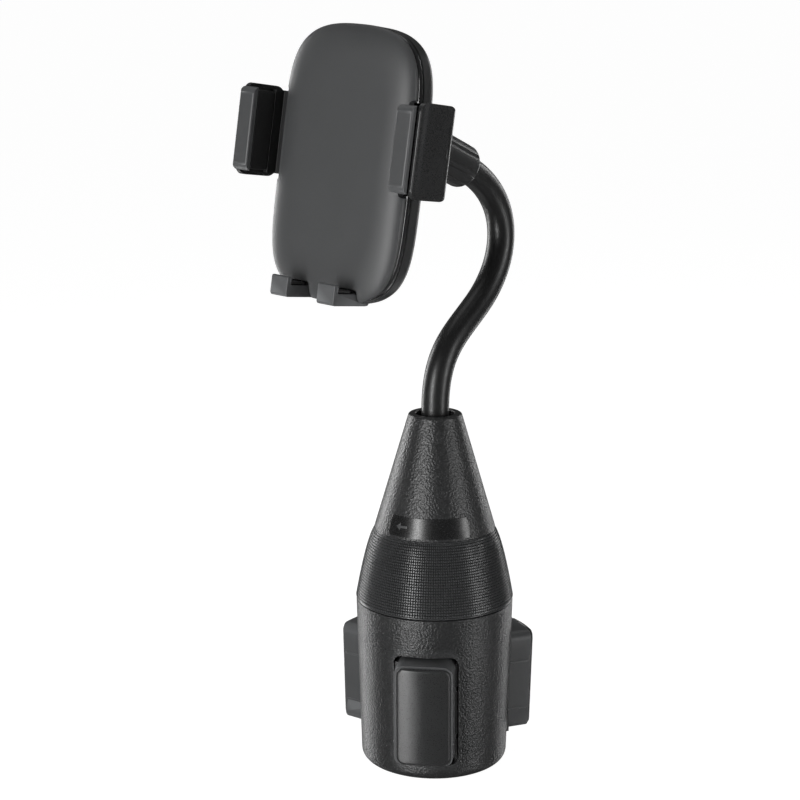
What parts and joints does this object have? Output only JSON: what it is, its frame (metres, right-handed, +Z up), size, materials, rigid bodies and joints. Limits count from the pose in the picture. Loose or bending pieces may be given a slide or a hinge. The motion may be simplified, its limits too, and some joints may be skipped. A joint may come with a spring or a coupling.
{
  "type": "phone mount",
  "caption": "Cup-holder phone mount: an expanding round base with sliding feet, a bendable gooseneck, a ball joint and a spring-jaw phone cradle with a pull-out foot.",
  "frame": {"origin": "centre of the base's flat underside", "axes": "+Z up through the base and cone, -Y towards the side the phone faces, +X to the right as seen from the phone's side"},
  "size_m": [0.0954, 0.1436, 0.3335],
  "materials": {
    "grained_plastic": "black moulded plastic with a fine leather grain, satin",
    "soft_touch": "dark grey soft-touch paint, even and satin",
    "gloss_black": "polished black plastic",
    "matte_black": "black moulded plastic, fine matte texture",
    "rubber": "black rubber, smooth and slightly shiny on the neck, matte on the pads",
    "grey_plastic": "dark grey moulded plastic, satin",
    "steel": "plain steel",
    "acetal": "natural acetal, waxy"
  },
  "bodies": {
    "base": {"base_shell": "grained_plastic", "base_pad": "rubber", "guide_frame": "matte_black", "base_screw_1": "steel", "base_screw_2": "steel", "base_screw_3": "steel", "center_post": "matte_black", "cone_shell": "grained_plastic", "cone_grommet": "rubber", "neck_anchor": "steel", "neck_core_1": "steel", "neck_sleeve_1": "rubber"},
    "dial": {"grip_ring": "grained_plastic", "scroll_plate": "acetal"},
    "foot_1": {"foot_carrier_1": "grey_plastic", "foot_pad_1": "soft_touch"},
    "foot_2": {"foot_carrier_2": "grey_plastic", "foot_pad_2": "soft_touch"},
    "foot_3": {"foot_carrier_3": "grey_plastic", "foot_pad_3": "soft_touch"},
    "neck_2": {"neck_sleeve_2": "rubber", "neck_core_2": "steel"},
    "neck_3": {"neck_sleeve_3": "rubber", "neck_core_3": "steel"},
    "neck_4": {"neck_sleeve_4": "rubber", "neck_core_4": "steel"},
    "neck_5": {"neck_sleeve_5": "rubber", "neck_core_5": "steel", "ball_socket": "matte_black"},
    "nut": {"ring_nut": "matte_black"},
    "ball_seat": {"ball_liner": "acetal"},
    "ball_turn": {"ball": "steel"},
    "cradle": {"ball_stud": "steel", "face_panel": "soft_touch", "chassis": "gloss_black", "rear_shell": "matte_black", "pinion_pin": "steel", "cradle_screw_1": "steel", "cradle_screw_2": "steel", "cradle_screw_3": "steel", "cradle_screw_4": "steel", "arm_spring_left": "steel", "arm_spring_right": "steel", "button_spring": "steel"},
    "arm_left": {"arm_left": "matte_black", "jaw_cover_left": "soft_touch", "jaw_pad_left": "rubber"},
    "arm_right": {"arm_right": "matte_black", "jaw_cover_right": "soft_touch", "jaw_pad_right": "rubber"},
    "gear": {"pinion": "acetal", "ratchet_wheel": "acetal"},
    "pawl": {"lock_pawl": "steel"},
    "button": {"release_button": "grey_plastic"},
    "tray": {"hook_tray": "matte_black", "hook_pad_left": "rubber", "hook_pad_right": "rubber"}
  },
  "joints": [
    {"name": "dial_turn", "type": "hinge", "parent": "base", "child": "dial", "pos_m": [0, 0, 0.07], "axis": [0, 0, 1], "range_deg": [-17.9, 78.7]},
    {"name": "foot_slide_1", "type": "slide", "parent": "base", "child": "foot_1", "axis": [0.5, -0.866, 0], "range_m": [-0.011, 0.0025]},
    {"name": "foot_slide_2", "type": "slide", "parent": "base", "child": "foot_2", "axis": [0.5, 0.866, 0], "range_m": [-0.011, 0.0025]},
    {"name": "foot_slide_3", "type": "slide", "parent": "base", "child": "foot_3", "axis": [-1, 0, 0], "range_m": [-0.011, 0.0025]},
    {"name": "neck_bend_1", "type": "hinge", "parent": "base", "child": "neck_2", "pos_m": [0, 0.00663, 0.18715], "axis": [1, 0, 0], "range_deg": [-15, 15]},
    {"name": "neck_bend_2", "type": "hinge", "parent": "neck_2", "child": "neck_3", "pos_m": [0, 0.03172, 0.20676], "axis": [0, -0.581, 0.8139], "range_deg": [-15, 15]},
    {"name": "neck_bend_3", "type": "hinge", "parent": "neck_3", "child": "neck_4", "pos_m": [0, 0.04947, 0.23234], "axis": [1, 0, 0], "range_deg": [-15, 15]},
    {"name": "neck_bend_4", "type": "hinge", "parent": "neck_4", "child": "neck_5", "pos_m": [0, 0.03812, 0.25869], "axis": [0, -0.6531, -0.7572], "range_deg": [-15, 15]},
    {"name": "nut_turn", "type": "hinge", "parent": "neck_5", "child": "nut", "pos_m": [0, -0.00296, 0.27861], "axis": [0, 0.9265, -0.3762], "range_deg": [0, 60]},
    {"name": "ball_tilt", "type": "hinge", "parent": "neck_5", "child": "ball_seat", "pos_m": [0, -0.00296, 0.27861], "axis": [1, 0, 0], "range_deg": [-30, 8]},
    {"name": "ball_swivel", "type": "hinge", "parent": "ball_seat", "child": "ball_turn", "pos_m": [0, -0.00296, 0.27861], "axis": [0.0471, 0.139, 0.9892], "range_deg": [-16, 16]},
    {"name": "cradle_roll", "type": "hinge", "parent": "ball_turn", "child": "cradle", "pos_m": [0, -0.00296, 0.27861], "axis": [0, 0.9903, -0.1392], "range_deg": [-95, 95]},
    {"name": "jaws_slide", "type": "slide", "parent": "cradle", "child": "arm_left", "axis": [-0.9989, 0.0066, 0.0466], "range_m": [-0.003, 0.011], "deforming": ["arm_spring_left", "arm_spring_right"]},
    {"name": "jaw_right_slide", "type": "slide", "parent": "cradle", "child": "arm_right", "axis": [0.9989, -0.0066, -0.0466], "range_m": [-0.003, 0.011]},
    {"name": "pinion_turn", "type": "hinge", "parent": "cradle", "child": "gear", "pos_m": [-0.00001, -0.05696, 0.28599], "axis": [0, 0.9903, -0.1392], "range_deg": [-106, 29]},
    {"name": "release_press", "type": "slide", "parent": "cradle", "child": "button", "axis": [-0.0471, -0.139, -0.9892], "range_m": [0, 0.002], "stiffness_N_per_m": 300, "springref_m": -0.001, "deforming": ["button_spring"]},
    {"name": "pawl_lift", "type": "hinge", "parent": "cradle", "child": "pawl", "pos_m": [-0.00907, -0.0477, 0.29442], "axis": [0, 0.9903, -0.1392], "range_deg": [-21, 0]},
    {"name": "tray_slide", "type": "slide", "parent": "cradle", "child": "tray", "axis": [-0.0471, -0.139, -0.9892], "range_m": [0, 0.012]}
  ],
  "couplings": [
    {"joint": "foot_slide_1", "follows": "dial_turn", "m_per_rad": -0.008},
    {"joint": "foot_slide_2", "follows": "dial_turn", "m_per_rad": -0.008},
    {"joint": "foot_slide_3", "follows": "dial_turn", "m_per_rad": -0.008},
    {"joint": "jaw_right_slide", "follows": "jaws_slide", "ratio": 1},
    {"joint": "pinion_turn", "follows": "jaws_slide", "rad_per_m": -166.67},
    {"joint": "pawl_lift", "follows": "release_press", "rad_per_m": -180}
  ]
}
